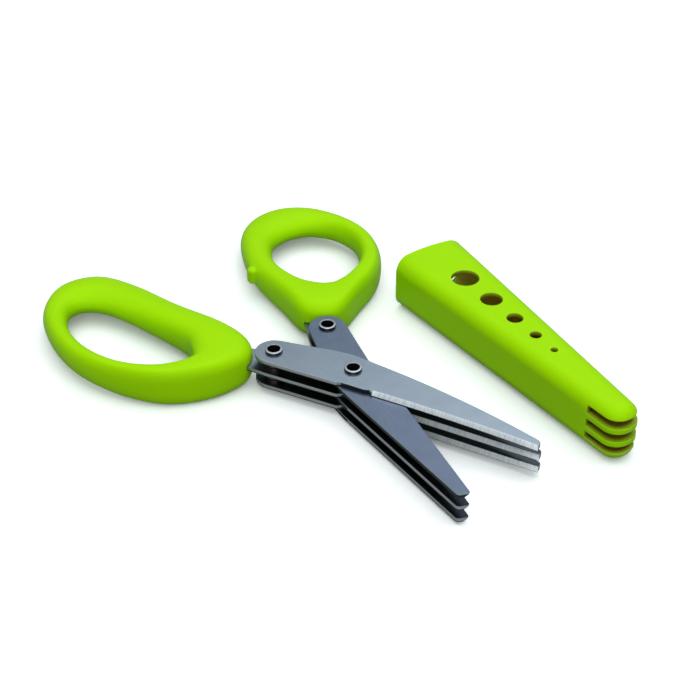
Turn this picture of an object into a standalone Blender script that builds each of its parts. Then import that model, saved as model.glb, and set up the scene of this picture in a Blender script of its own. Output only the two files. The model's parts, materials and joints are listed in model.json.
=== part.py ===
# Herb scissors with three pairs of interleaved blades, and the cover that lies beside them.
# Metres, +Z up. Both halves are built around the pivot, blades along local +X and spine along +Y.
# The thumb half is turned over, so its blades fall between those of the finger half.

import math

import bmesh
import bpy
from mathutils import Euler, Vector

OBJECT_NAME = "herb_scissors"

# Stack of blades
BLADE_THICKNESS = 0.0016
PIVOT_SPACER_THICKNESS = 0.0016
FACE_CLEARANCE = 0.0001
PAIR_COUNT = 3
PAIR_PITCH = 2 * BLADE_THICKNESS + PIVOT_SPACER_THICKNESS + 3 * FACE_CLEARANCE
STACK_HEIGHT = (PAIR_COUNT - 1) * PAIR_PITCH + 2 * BLADE_THICKNESS + FACE_CLEARANCE
TOP_LEVEL = (STACK_HEIGHT - BLADE_THICKNESS) / 2
LEVEL_NAMES = ("top", "middle", "bottom")

# Hollow rivets with a rolled rim at both ends
RIVET_BORE_RADIUS = 0.0021
RIVET_WALL = 0.0005
RIVET_SHANK_RADIUS = RIVET_BORE_RADIUS + RIVET_WALL
RIM_RADIUS = 0.0032
RIM_MOUTH_RADIUS = 0.0023
RIM_HEIGHT = 0.0012
RIM_NECK_SHARE = 0.45
RIM_STEPS = 6
SHANK_CLEARANCE = 0.0001
PIVOT_SPACER_RADIUS = 0.0045
REAR_SPACER_RADIUS = 0.0035
REAR_SPACER_THICKNESS = PAIR_PITCH - BLADE_THICKNESS - 2 * FACE_CLEARANCE
TURNED_STEPS = 24

# Blade outline, from the pivot: shares of the reach along the blade and of the edge offset across it
BLADE_REACH = 0.0739
EDGE_OFFSET = 0.0086
REAR_RIVET_DISTANCE = 0.0299
REAR_END_RADIUS = 0.0067
SPINE_ROUNDING = 0.035
TIP_ROUNDING = 0.0015
FINGER_BLADE_SHARES = {
    "spine": (-0.055, 0.94),
    "tip_spine": (0.982, -0.32),
    "tip_edge": (1.0, -1.0),
    "heel": (0.161, -1.02),
    "relief_front": (0.143, -0.90),
    "relief_back": (-0.004, -0.97),
    "relief_start": (-0.019, -1.08),
}
THUMB_BLADE_SHARES = {
    "spine": (0.027, 0.98),
    "tip_spine": (0.968, -0.48),
    "tip_edge": (0.977, -0.97),
    "heel": (0.161, -1.0),
    "relief_front": (0.143, -0.76),
    "relief_back": (-0.004, -0.80),
    "relief_start": (-0.019, -0.91),
}

# Ground edge
GRIND_WIDTH = 0.002
EDGE_LAND = 0.0002
CUT_OVERRUN = 0.003

# Tang of the middle blade, and its pocket in the handle
TANG_DEPTH = 0.012
TANG_HALF_WIDTH = 0.004
TANG_ROUNDING = 0.001
TANG_CLEARANCE = 0.00025

# Directions of the halves in the open position, in degrees about the pivot
FINGER_DIRECTION = -30.4
THUMB_DIRECTION = -66.0
FINGER_REAR_ANGLE = 9.2
THUMB_REAR_ANGLE = 5.9

# Moulded bows: height, and how much of the section is taken by its rounded corners
FRONT_GAP = 0.0004
NECK_HEIGHT = STACK_HEIGHT + 2 * RIM_HEIGHT
NECK_FLAT_LENGTH = 0.012
BOW_FAR_HEIGHT = 0.010
TAPER_START_SHARE = 0.15
NECK_CORNER_SHARE = 0.62
RING_CORNER_SHARE = 0.92
SECTIONS_PER_POINT = 4
CORNER_STEPS = 4
FINGER_BOW_LENGTH = 0.0888
FINGER_BOW_WIDTH = 0.052
THUMB_BOW_LENGTH = 0.081
THUMB_BOW_WIDTH = 0.0522

# Facing points of the outer outline and of the hole, each as shares of the bow's length behind
# the neck's front and of its width towards the spine side of the rear rivet
FINGER_BOW_SHARES = (
    ((0.000, -0.082), (0.203, -0.286)),
    ((0.021, -0.259), (0.203, -0.332)),
    ((0.092, -0.445), (0.221, -0.409)),
    ((0.224, -0.622), (0.289, -0.512)),
    ((0.421, -0.705), (0.427, -0.576)),
    ((0.624, -0.682), (0.601, -0.539)),
    ((0.810, -0.532), (0.753, -0.418)),
    ((0.950, -0.303), (0.845, -0.241)),
    ((1.000, 0.005), (0.840, -0.126)),
    ((0.905, 0.245), (0.776, -0.059)),
    ((0.714, 0.280), (0.669, -0.043)),
    ((0.466, 0.211), (0.477, -0.070)),
    ((0.230, 0.166), (0.309, -0.109)),
    ((0.066, 0.074), (0.230, -0.214)),
)
THUMB_BOW_SHARES = (
    ((0.000, -0.085), (0.231, -0.248)),
    ((0.024, -0.215), (0.237, -0.315)),
    ((0.120, -0.392), (0.258, -0.397)),
    ((0.249, -0.631), (0.330, -0.516)),
    ((0.410, -0.763), (0.441, -0.614)),
    ((0.600, -0.796), (0.583, -0.652)),
    ((0.780, -0.715), (0.701, -0.581)),
    ((0.938, -0.535), (0.762, -0.449)),
    ((1.000, -0.296), (0.774, -0.325)),
    ((0.953, -0.056), (0.759, -0.206)),
    ((0.805, 0.120), (0.701, -0.076)),
    ((0.538, 0.204), (0.527, 0.003)),
    ((0.262, 0.135), (0.342, -0.049)),
    ((0.070, 0.083), (0.256, -0.152)),
)

# Stop nub, an upright peg half sunk in the flank of the thumb bow at one of the bow's own points
NUB_POINT = 11
NUB_RADIUS = 0.0026
NUB_HEIGHT = 0.0064
NUB_SINK = 0.0009
NUB_ROUNDING = 0.001

# Cover, from the middle of its mouth
COVER_LENGTH = 0.1176
COVER_HEIGHT = 0.0214
COVER_MOUTH_WIDTH = 0.03
COVER_MOUTH_BOW = 0.0019
COVER_TIP_WIDTH = 0.0126
COVER_TIP_ROUNDING_SHARE = 0.98
COVER_EDGE_ROUNDING = 0.0056
COVER_WALL = 0.002
COVER_MOUTH_PLACE = (0.0288, 0.0674)
COVER_DIRECTION = -58.0
COVER_HOLE_DIAMETERS = (0.0103, 0.0081, 0.0059, 0.0042, 0.0026)
FIRST_HOLE_DISTANCE = 0.0235
HOLE_STEP = 0.0163
HOLE_STEP_SHARE = 0.863
SLOT_HEIGHT = 0.0031
SLOT_PITCH = 0.0053
SLOT_LIFT = 0.0004
SLOT_DEPTH = 0.0138
BEVEL_SEGMENTS = 4

ARC_STEP_DEGREES = 15
WELD_DISTANCE = 0.000001
FLAT_ANGLE = 0.001


# Scene and helpers

def clear_scene():
    for obj in list(bpy.data.objects):
        bpy.data.objects.remove(obj)


def new_collection(name):
    collection = bpy.data.collections.new(name)
    bpy.context.scene.collection.children.link(collection)
    return collection


def new_material(name, colour, roughness, metallic):
    material = bpy.data.materials.new(name)
    material.use_nodes = True
    shader = material.node_tree.nodes["Principled BSDF"]
    shader.inputs["Base Color"].default_value = (*colour, 1)
    shader.inputs["Roughness"].default_value = roughness
    shader.inputs["Metallic"].default_value = metallic
    return material


def new_empty(name, location, rotation, parent=None):
    empty = bpy.data.objects.new(name, None)
    empty.location = location
    empty.rotation_euler = rotation
    empty.parent = parent
    parts.objects.link(empty)
    return empty


def new_part(name, mesh, parent, material, location=(0, 0, 0)):
    part = bpy.data.objects.new(name, mesh)
    part.location = location
    part.parent = parent
    mesh.materials.clear()
    mesh.materials.append(material)
    parts.objects.link(part)
    return part


def new_cutter(name, mesh, parent, location=(0, 0, 0), rotation=(0, 0, 0)):
    cutter = bpy.data.objects.new(name, mesh)
    cutter.location = location
    cutter.rotation_euler = rotation
    cutter.parent = parent
    cutter.hide_render = True
    cutter.display_type = "WIRE"
    cutters.objects.link(cutter)
    return cutter


def add_boolean(part, other, operation="DIFFERENCE"):
    modifier = part.modifiers.new(other.name, "BOOLEAN")
    modifier.operation = operation
    modifier.solver = "EXACT"
    modifier.object = other


def add_bevel(obj, width):
    modifier = obj.modifiers.new("rounded edges", "BEVEL")
    modifier.width = width
    modifier.segments = BEVEL_SEGMENTS
    modifier.limit_method = "ANGLE"
    modifier.use_clamp_overlap = False


def smooth(mesh, sharp_degrees=30):
    mesh.shade_smooth()
    mesh.set_sharp_from_angle(angle=math.radians(sharp_degrees))


# Outlines

def arc(centre, radius, start, end):
    steps = max(2, math.ceil(abs(end - start) / math.radians(ARC_STEP_DEGREES)))
    angles = [start + (end - start) * i / steps for i in range(steps + 1)]
    return [centre + radius * Vector((math.cos(a), math.sin(a))) for a in angles]


def fillet(before, corner, after, radius):
    # The arc that rounds a corner of an outline
    to_before = (before - corner).normalized()
    to_after = (after - corner).normalized()
    half_angle = to_before.angle(to_after) / 2
    middle = (to_before + to_after).normalized()
    centre = corner + middle * radius / math.sin(half_angle)
    start = corner + to_before * radius / math.tan(half_angle) - centre
    end = corner + to_after * radius / math.tan(half_angle) - centre
    turn = start.angle_signed(end)
    first = math.atan2(start.y, start.x)
    return arc(centre, radius, first, first - turn)


def rounded_outline(corners):
    # Corners are (point, radius); a radius of zero keeps the corner sharp
    outline = []
    for i, (corner, radius) in enumerate(corners):
        before = corners[i - 1][0]
        after = corners[(i + 1) % len(corners)][0]
        outline += fillet(before, corner, after, radius) if radius else [corner]
    return outline


def circle(centre, radius):
    return arc(centre, radius, 0, 2 * math.pi)[:-1]


def tangent_point(point, centre, radius, side):
    # Where a line from the point touches the circle; side is 1 or -1
    offset = point - centre
    turn = side * math.acos(radius / offset.length)
    angle = math.atan2(offset.y, offset.x) + turn
    return centre + radius * Vector((math.cos(angle), math.sin(angle)))


def plate(name, outlines, thickness):
    # A flat solid between -thickness/2 and +thickness/2; later outlines are holes
    curve = bpy.data.curves.new(name, "CURVE")
    curve.dimensions = "2D"
    curve.fill_mode = "BOTH"
    curve.extrude = thickness / 2
    for outline in outlines:
        spline = curve.splines.new("POLY")
        spline.points.add(len(outline) - 1)
        for spline_point, point in zip(spline.points, outline):
            spline_point.co = (*point, 0, 1)
        spline.use_cyclic_u = True
    carrier = bpy.data.objects.new(name, curve)
    parts.objects.link(carrier)
    graph = bpy.context.evaluated_depsgraph_get()
    mesh = bpy.data.meshes.new_from_object(carrier.evaluated_get(graph))
    bpy.data.objects.remove(carrier)
    weld(mesh)
    return mesh


def weld(mesh):
    shape = bmesh.new()
    shape.from_mesh(mesh)
    bmesh.ops.remove_doubles(shape, verts=shape.verts, dist=WELD_DISTANCE)
    bmesh.ops.dissolve_limit(shape, angle_limit=FLAT_ANGLE, verts=shape.verts, edges=shape.edges)
    bmesh.ops.recalc_face_normals(shape, faces=shape.faces)
    shape.to_mesh(mesh)
    shape.free()


def block(name, size):
    mesh = bpy.data.meshes.new(name)
    shape = bmesh.new()
    bmesh.ops.create_cube(shape, size=1)
    bmesh.ops.scale(shape, vec=size, verts=shape.verts)
    shape.to_mesh(mesh)
    shape.free()
    return mesh


def rod(name, radius, length):
    mesh = bpy.data.meshes.new(name)
    shape = bmesh.new()
    bmesh.ops.create_cone(shape, cap_ends=True, segments=TURNED_STEPS,
                          radius1=radius, radius2=radius, depth=length)
    shape.to_mesh(mesh)
    shape.free()
    return mesh


def turned(name, profile):
    # A closed (radius, height) profile, to be turned about Z; its outer side runs downwards
    mesh = bpy.data.meshes.new(name)
    points = [(radius, 0, height) for radius, height in profile]
    count = len(points)
    mesh.from_pydata(points, [(i, (i + 1) % count) for i in range(count)], [])
    return mesh


def add_turning(part):
    modifier = part.modifiers.new("turned", "SCREW")
    modifier.steps = TURNED_STEPS
    modifier.render_steps = TURNED_STEPS
    modifier.use_merge_vertices = True
    modifier.merge_threshold = WELD_DISTANCE
    modifier.use_smooth_shade = True


# Blades

class Blade:
    # The outline of one half's blades, in the half's own frame

    def __init__(self, shares, rear_angle):
        self.place = {
            name: Vector((along * BLADE_REACH, across * EDGE_OFFSET))
            for name, (along, across) in shares.items()
        }
        angle = math.pi + math.radians(rear_angle)
        self.rear_direction = Vector((math.cos(angle), math.sin(angle)))
        self.rear_rivet = self.rear_direction * REAR_RIVET_DISTANCE
        self.spine_touch = tangent_point(self.place["spine"], self.rear_rivet, REAR_END_RADIUS, 1)
        self.lower_touch = tangent_point(self.place["relief_start"], self.rear_rivet,
                                         REAR_END_RADIUS, -1)

    def front_corners(self):
        # From the spine over the pivot, round the tip and back along the edge to the heel
        return [
            (self.place["spine"], SPINE_ROUNDING),
            (self.place["tip_spine"], TIP_ROUNDING),
            (self.place["tip_edge"], 0),
            (self.place["heel"], 0),
            (self.place["relief_front"], 0),
            (self.place["relief_back"], 0),
            (self.place["relief_start"], 0),
        ]

    def round_end(self):
        first = self.lower_touch - self.rear_rivet
        last = self.spine_touch - self.rear_rivet
        start = math.atan2(first.y, first.x)
        turn = first.angle_signed(last) % (2 * math.pi)
        return arc(self.rear_rivet, REAR_END_RADIUS, start, start - turn)

    def outer_outline(self):
        ends = [(self.spine_touch, 0), *self.front_corners(), (self.lower_touch, 0)]
        return rounded_outline(ends)[1:-1] + self.round_end()

    def tang_corners(self, clearance=0):
        back = REAR_RIVET_DISTANCE + REAR_END_RADIUS + FRONT_GAP + TANG_DEPTH + clearance
        across = Vector((self.rear_direction.y, -self.rear_direction.x))
        half_width = TANG_HALF_WIDTH + clearance
        return [
            (self.lower_touch - across * clearance, 0),
            (self.rear_direction * back - across * half_width, TANG_ROUNDING + clearance),
            (self.rear_direction * back + across * half_width, TANG_ROUNDING + clearance),
            (self.spine_touch + across * clearance, 0),
        ]

    def middle_outline(self):
        return rounded_outline([*self.front_corners(), *self.tang_corners()])


def add_grind(blade_part, blade):
    # The edge is ground on the blade's outer face, from the heel to past the tip
    depth = BLADE_THICKNESS - EDGE_LAND
    slope = math.atan2(depth, GRIND_WIDTH)
    edge = blade.place["tip_edge"] - blade.place["heel"]
    heading = math.atan2(edge.y, edge.x)
    face_width = math.hypot(depth, GRIND_WIDTH)
    size = Vector((edge.length + CUT_OVERRUN, face_width + CUT_OVERRUN, CUT_OVERRUN))
    rotation = Euler((slope, 0, heading))
    ground_middle = Vector((size.x / 2, GRIND_WIDTH / 2, EDGE_LAND / 2))
    ground_middle.rotate(Euler((0, 0, heading)))
    lift = Vector((0, 0, size.z / 2))
    lift.rotate(rotation)
    cutter = new_cutter(blade_part.name + "_grind", block("grind", size), blade_part,
                        blade.place["heel"].to_3d() + ground_middle + lift, rotation)
    add_boolean(blade_part, cutter)


def build_blades(side, names, blade, frame):
    holes = [circle(place, RIVET_SHANK_RADIUS + SHANK_CLEARANCE)
             for place in (Vector((0, 0)), blade.rear_rivet)]
    for number, level_name in enumerate(names):
        outline = blade.middle_outline() if level_name == "middle" else blade.outer_outline()
        name = f"{side}_blade_{level_name}"
        mesh = plate(name, [outline, *holes], BLADE_THICKNESS)
        level = TOP_LEVEL - number * PAIR_PITCH
        part = new_part(name, mesh, frame, blade_steel, (0, 0, level))
        add_grind(part, blade)


# Rivets and spacers

def rivet_profile(top, bottom):
    # Top and bottom are the blade faces that the rims lie on
    rim = rim_profile()
    upper = [(radius, top + FACE_CLEARANCE + height) for radius, height in rim]
    lower = [(radius, bottom - FACE_CLEARANCE - height) for radius, height in rim]
    bore = [(RIVET_BORE_RADIUS, bottom), (RIVET_BORE_RADIUS, top)]
    return [upper[0], *lower, *bore, *reversed(upper[1:])]


def rim_profile():
    # The rolled rim, from its foot outside the hole, over its crown and into the bore
    half_width = (RIM_RADIUS - RIM_MOUTH_RADIUS) / 2
    crown_radius = RIM_MOUTH_RADIUS + half_width
    straight = (RIM_HEIGHT - FACE_CLEARANCE) * RIM_NECK_SHARE
    rise = RIM_HEIGHT - FACE_CLEARANCE - straight
    angles = [math.pi * i / RIM_STEPS for i in range(RIM_STEPS + 1)]
    crown = [(crown_radius + half_width * math.cos(a), straight + rise * math.sin(a))
             for a in angles]
    return [(RIVET_SHANK_RADIUS, 0), (RIM_RADIUS, 0), *crown]


def build_rivet(name, place, top, bottom, frame):
    part = new_part(name, turned(name, rivet_profile(top, bottom)), frame, rivet_steel,
                    (*place, 0))
    add_turning(part)


def build_spacer(name, place, level, radius, thickness, frame):
    bore = RIVET_SHANK_RADIUS + SHANK_CLEARANCE
    half = thickness / 2
    profile = [(radius, half), (radius, -half), (bore, -half), (bore, half)]
    part = new_part(name, turned(name, profile), frame, spacer_metal, (*place, level))
    add_turning(part)


def build_rear_joint(side, names, blade, frame):
    last_level = TOP_LEVEL - (PAIR_COUNT - 1) * PAIR_PITCH
    half = BLADE_THICKNESS / 2
    build_rivet(f"{side}_rear_rivet", blade.rear_rivet, TOP_LEVEL + half, last_level - half, frame)
    for number, name in enumerate(names):
        level = TOP_LEVEL - (number + 0.5) * PAIR_PITCH
        build_spacer(f"{side}_spacer_{name}", blade.rear_rivet, level,
                     REAR_SPACER_RADIUS, REAR_SPACER_THICKNESS, frame)


def build_pivot(frame):
    centre = Vector((0, 0))
    build_rivet("pivot_rivet", centre, STACK_HEIGHT / 2, -STACK_HEIGHT / 2, frame)
    for name, side in (("upper", 1), ("lower", -1)):
        build_spacer(f"pivot_spacer_{name}", centre, side * PAIR_PITCH / 2,
                     PIVOT_SPACER_RADIUS, PIVOT_SPACER_THICKNESS, frame)


# Handles

def bow_points(shares, length, width, blade):
    # The outer outline and the hole, as facing pairs of points in the half's frame
    front = blade.rear_direction.x * REAR_RIVET_DISTANCE - REAR_END_RADIUS - FRONT_GAP
    return [
        tuple(Vector((front - along * length, blade.rear_rivet.y + across * width))
              for along, across in pair)
        for pair in shares
    ]


def smooth_loop(points, steps):
    # A closed curve through the points, with the given number of steps from each to the next
    count = len(points)
    loop = []
    for i in range(count):
        a, b, c, d = (points[(i + k) % count] for k in (-1, 0, 1, 2))
        for step in range(steps):
            t = step / steps
            loop.append((2 * b + (c - a) * t + (2 * a - 5 * b + 4 * c - d) * t**2
                         + (3 * b - a - 3 * c + d) * t**3) / 2)
    return loop


def bow_section(outer, hole, front, length):
    # A soft rectangle from the hole to the outer outline; it is lower and rounder away from the neck
    middle = (outer + hole) / 2
    behind = max(0, front - middle.x - NECK_FLAT_LENGTH) / (length - NECK_FLAT_LENGTH)
    eased = (1 + TAPER_START_SHARE) * behind**2 / (behind + TAPER_START_SHARE)
    neck_share = (1 - eased)**2
    half_height = (BOW_FAR_HEIGHT + (NECK_HEIGHT - BOW_FAR_HEIGHT) * neck_share) / 2
    corner_share = RING_CORNER_SHARE + (NECK_CORNER_SHARE - RING_CORNER_SHARE) * neck_share**2
    half_width = (outer - hole).length / 2
    direction = (outer - hole).normalized()
    section = []
    for quarter in range(4):
        across_side = (1, -1, -1, 1)[quarter]
        up_side = (1, 1, -1, -1)[quarter]
        for step in range(CORNER_STEPS + 1):
            angle = math.pi / 2 * (quarter + step / CORNER_STEPS)
            across = (across_side * (1 - corner_share) + corner_share * math.cos(angle)) * half_width
            up = (up_side * (1 - corner_share) + corner_share * math.sin(angle)) * half_height
            section.append((*(middle + direction * across), up))
    return section


def bow_mesh(name, pairs, length):
    outer_loop = smooth_loop([outer for outer, hole in pairs], SECTIONS_PER_POINT)
    hole_loop = smooth_loop([hole for outer, hole in pairs], SECTIONS_PER_POINT)
    front = pairs[0][0].x
    mesh = bpy.data.meshes.new(name)
    shape = bmesh.new()
    rings = [
        [shape.verts.new(point) for point in bow_section(outer, hole, front, length)]
        for outer, hole in zip(outer_loop, hole_loop)
    ]
    for i, ring in enumerate(rings):
        other = rings[(i + 1) % len(rings)]
        for k in range(len(ring)):
            after = (k + 1) % len(ring)
            shape.faces.new((ring[k], ring[after], other[after], other[k]))
    bmesh.ops.recalc_face_normals(shape, faces=shape.faces)
    shape.to_mesh(mesh)
    shape.free()
    smooth(mesh)
    return mesh


def add_pocket(handle, side, blade, frame):
    # The slot that the middle blade's tang slides into
    outline = rounded_outline(blade.tang_corners(TANG_CLEARANCE))
    mesh = plate(side + "_pocket", [outline], BLADE_THICKNESS + 2 * TANG_CLEARANCE)
    level = TOP_LEVEL - (PAIR_COUNT // 2) * PAIR_PITCH
    add_boolean(handle, new_cutter(side + "_pocket", mesh, frame, (0, 0, level)))


def add_nub(handle, pairs, frame):
    outer = pairs[NUB_POINT][0]
    place = (outer.x, outer.y - NUB_SINK, 0)
    nub = new_cutter("stop_nub", rod("stop_nub", NUB_RADIUS, NUB_HEIGHT), frame, place)
    add_bevel(nub, NUB_ROUNDING)
    add_boolean(handle, nub, "UNION")


def build_handle(side, shares, length, width, blade, frame):
    pairs = bow_points(shares, length, width, blade)
    name = side + "_handle"
    handle = new_part(name, bow_mesh(name, pairs, length), frame, green_plastic)
    add_pocket(handle, side, blade, frame)
    return handle, pairs


# Cover

def cover_plate(name, inset, mouth_overrun):
    # The tapered outline with its round tip, drawn in by the inset
    taper = (COVER_MOUTH_WIDTH - COVER_TIP_WIDTH) / 2 / COVER_LENGTH
    mouth_half = COVER_MOUTH_WIDTH / 2 - inset + taper * mouth_overrun
    tip = COVER_LENGTH - inset
    tip_half = COVER_TIP_WIDTH / 2 - inset + taper * inset
    tip_rounding = COVER_TIP_WIDTH / 2 * COVER_TIP_ROUNDING_SHARE - inset
    corners = [
        (Vector((-mouth_overrun, mouth_half)), 0),
        (Vector((-mouth_overrun, -mouth_half)), 0),
        (Vector((tip, -tip_half)), tip_rounding),
        (Vector((tip, tip_half)), tip_rounding),
    ]
    return plate(name, [rounded_outline(corners)], COVER_HEIGHT - 2 * inset)


def add_cover_cavity(cover):
    mesh = cover_plate("cover_cavity", COVER_WALL, 2 * COVER_EDGE_ROUNDING)
    cavity = new_cutter("cover_cavity", mesh, cover)
    add_bevel(cavity, COVER_EDGE_ROUNDING - COVER_WALL)
    add_boolean(cover, cavity)


def add_cover_mouth(cover):
    # The shell is made longer and then cut in a shallow bow, so that its mouth has the full section
    half_width = COVER_MOUTH_WIDTH / 2 + CUT_OVERRUN
    radius = (half_width**2 + COVER_MOUTH_BOW**2) / (2 * COVER_MOUTH_BOW)
    half_angle = math.asin(half_width / radius)
    centre = Vector((radius - COVER_MOUTH_BOW, 0))
    outline = arc(centre, radius, math.pi - half_angle, math.pi + half_angle)
    back = -3 * COVER_EDGE_ROUNDING
    outline += [Vector((back, -half_width)), Vector((back, half_width))]
    mesh = plate("cover_mouth", [outline], 2 * COVER_HEIGHT)
    add_boolean(cover, new_cutter("cover_mouth", mesh, cover))


def add_cover_holes(cover):
    distance = FIRST_HOLE_DISTANCE
    step = HOLE_STEP
    for number, diameter in enumerate(COVER_HOLE_DIAMETERS):
        mesh = rod(f"cover_hole_{number}", diameter / 2, 2 * COVER_WALL)
        place = (distance, 0, (COVER_HEIGHT - COVER_WALL) / 2)
        add_boolean(cover, new_cutter(mesh.name, mesh, cover, place))
        distance += step
        step *= HOLE_STEP_SHARE


def add_cover_slots(cover):
    # One slot for each pair of blades, cut in from the tip
    size = Vector((SLOT_DEPTH + CUT_OVERRUN, 2 * COVER_MOUTH_WIDTH, SLOT_HEIGHT))
    middle = COVER_LENGTH - SLOT_DEPTH + size.x / 2
    for number in range(PAIR_COUNT):
        level = SLOT_LIFT + ((PAIR_COUNT - 1) / 2 - number) * SLOT_PITCH
        name = f"cover_slot_{number}"
        add_boolean(cover, new_cutter(name, block(name, size), cover, (middle, 0, level)))


def build_cover(frame):
    mesh = cover_plate("cover", 0, 2 * COVER_EDGE_ROUNDING)
    cover = new_part("cover", mesh, frame, green_plastic)
    add_bevel(cover, COVER_EDGE_ROUNDING)
    add_cover_mouth(cover)
    add_cover_cavity(cover)
    add_cover_holes(cover)
    add_cover_slots(cover)


# Assembly

def build_half(side, direction, turned_over, blade, names):
    rotation = (math.pi if turned_over else 0, 0, math.radians(direction))
    frame = new_empty(side + "_half", (0, 0, 0), rotation, scissors)
    build_blades(side, names, blade, frame)
    rear_names = ("lower", "upper") if turned_over else ("upper", "lower")
    build_rear_joint(side, rear_names, blade, frame)
    return frame


def build_finger_half():
    blade = Blade(FINGER_BLADE_SHARES, FINGER_REAR_ANGLE)
    frame = build_half("finger", FINGER_DIRECTION, False, blade, LEVEL_NAMES)
    build_handle("finger", FINGER_BOW_SHARES, FINGER_BOW_LENGTH, FINGER_BOW_WIDTH, blade, frame)
    build_pivot(frame)


def build_thumb_half():
    blade = Blade(THUMB_BLADE_SHARES, THUMB_REAR_ANGLE)
    frame = build_half("thumb", THUMB_DIRECTION, True, blade, LEVEL_NAMES[::-1])
    handle, pairs = build_handle("thumb", THUMB_BOW_SHARES, THUMB_BOW_LENGTH, THUMB_BOW_WIDTH,
                                 blade, frame)
    add_nub(handle, pairs, frame)


def centre_on_floor(frame):
    # Moves the whole object so that the middle of its underside is at the origin
    bpy.context.view_layer.update()
    graph = bpy.context.evaluated_depsgraph_get()
    corners = [
        part.matrix_world @ Vector(corner)
        for part in (obj.evaluated_get(graph) for obj in parts.objects if obj.type == "MESH")
        for corner in [vertex.co for vertex in part.data.vertices]
    ]
    low = Vector(min(corner[axis] for corner in corners) for axis in range(3))
    high = Vector(max(corner[axis] for corner in corners) for axis in range(3))
    middle = (low + high) / 2
    frame.location -= Vector((middle.x, middle.y, low.z))


clear_scene()
parts = new_collection(OBJECT_NAME)
cutters = new_collection("cutters")
cutters.hide_render = True
green_plastic = new_material("green_plastic", (0.40, 0.82, 0.0), 0.45, 0.0)
blade_steel = new_material("blade_steel", (0.36, 0.40, 0.46), 0.35, 1.0)
rivet_steel = new_material("rivet_steel", (0.28, 0.29, 0.31), 0.30, 1.0)
spacer_metal = new_material("spacer_metal", (0.28, 0.17, 0.10), 0.45, 1.0)

whole = new_empty(OBJECT_NAME, (0, 0, 0), (0, 0, 0))
scissors = new_empty("scissors", (0, 0, NECK_HEIGHT / 2), (0, 0, 0), whole)
cover_frame = new_empty("cover_frame", (*COVER_MOUTH_PLACE, COVER_HEIGHT / 2),
                        (0, 0, math.radians(COVER_DIRECTION)), whole)
build_finger_half()
build_thumb_half()
build_cover(cover_frame)
centre_on_floor(whole)
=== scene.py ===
# Herb scissors with stacked blades, lying open beside their cover
import json
import math

import bmesh
import bpy
from mathutils import Matrix, Vector


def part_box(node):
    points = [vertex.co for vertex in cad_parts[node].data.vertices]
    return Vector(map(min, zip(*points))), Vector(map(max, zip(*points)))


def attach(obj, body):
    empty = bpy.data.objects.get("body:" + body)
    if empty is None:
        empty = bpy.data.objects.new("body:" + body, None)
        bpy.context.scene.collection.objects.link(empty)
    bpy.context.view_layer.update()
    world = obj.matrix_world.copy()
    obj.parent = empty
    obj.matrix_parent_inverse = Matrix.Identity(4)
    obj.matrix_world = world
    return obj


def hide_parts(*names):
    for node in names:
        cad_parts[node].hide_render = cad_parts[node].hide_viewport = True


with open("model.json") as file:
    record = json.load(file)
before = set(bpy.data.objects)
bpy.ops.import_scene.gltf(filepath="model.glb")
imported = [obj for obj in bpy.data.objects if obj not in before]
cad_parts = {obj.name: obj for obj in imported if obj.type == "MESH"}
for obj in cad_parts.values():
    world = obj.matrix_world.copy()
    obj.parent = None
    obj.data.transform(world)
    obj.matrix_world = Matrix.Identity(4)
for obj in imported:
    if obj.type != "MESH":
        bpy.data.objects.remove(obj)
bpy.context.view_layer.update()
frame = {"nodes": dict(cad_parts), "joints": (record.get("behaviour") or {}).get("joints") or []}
pivot = Vector(frame["joints"][0]["pos_m"])
levels = ("top", "middle", "bottom")
weldWithin = 0.000002  # vertices nearer than this become one
print("frame loaded,", len(frame["nodes"]), "nodes")

halves = {
    "finger": {"body": "finger_half", "direction": -30.4},
    "thumb": {"body": "thumb_half", "direction": -66.0},
}


# Node trees

class Value:
    # A socket that adds its own Math node when it is reckoned with
    def __init__(self, board, socket):
        self.board = board
        self.socket = socket

    def maths(self, operation, *values):
        kind = "ShaderNodeMath"
        return self.board.node(kind, {"operation": operation}, dict(enumerate(values)))

    def __add__(self, other):
        return self.maths("ADD", self, other)

    def __sub__(self, other):
        return self.maths("SUBTRACT", self, other)

    def __rsub__(self, other):
        return self.maths("SUBTRACT", other, self)

    def __mul__(self, other):
        return self.maths("MULTIPLY", self, other)

    def __truediv__(self, other):
        return self.maths("DIVIDE", self, other)

    def __pow__(self, other):
        return self.maths("POWER", self, other)

    __radd__ = __add__
    __rmul__ = __mul__


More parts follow.
